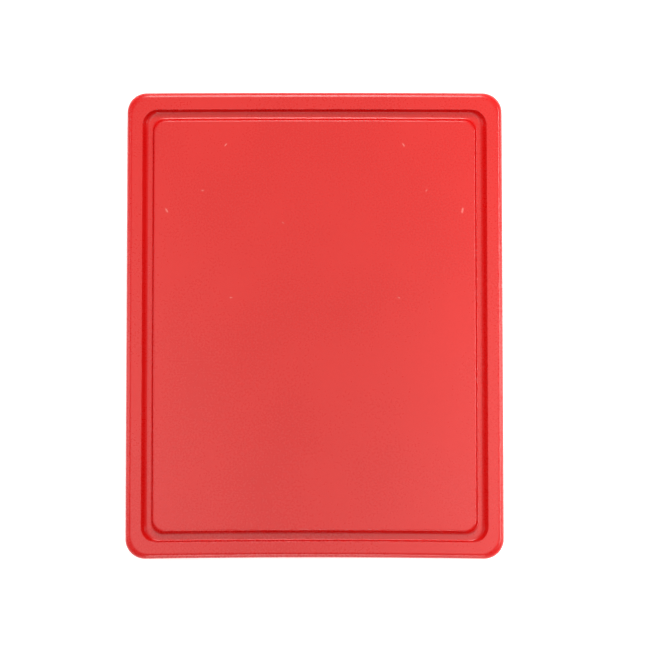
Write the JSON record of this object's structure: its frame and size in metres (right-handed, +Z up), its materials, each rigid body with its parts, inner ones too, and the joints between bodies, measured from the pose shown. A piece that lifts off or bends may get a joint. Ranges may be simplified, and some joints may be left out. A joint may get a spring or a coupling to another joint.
{
  "type": "cutting board",
  "caption": "Rectangular moulded cutting board with rounded corners and edges, a juice groove round its top face and a flat field level with the rim.",
  "frame": {"origin": "middle of the underside, on the surface that the board rests on", "axes": "+Z up out of the grooved cutting face, +Y along the board's length, +X across it"},
  "size_m": [0.262, 0.325, 0.012],
  "materials": {
    "board_plastic": "satin moulded polyethylene, bright red all through"
  },
  "bodies": {
    "root": {"board": "board_plastic"}
  },
  "joints": []
}
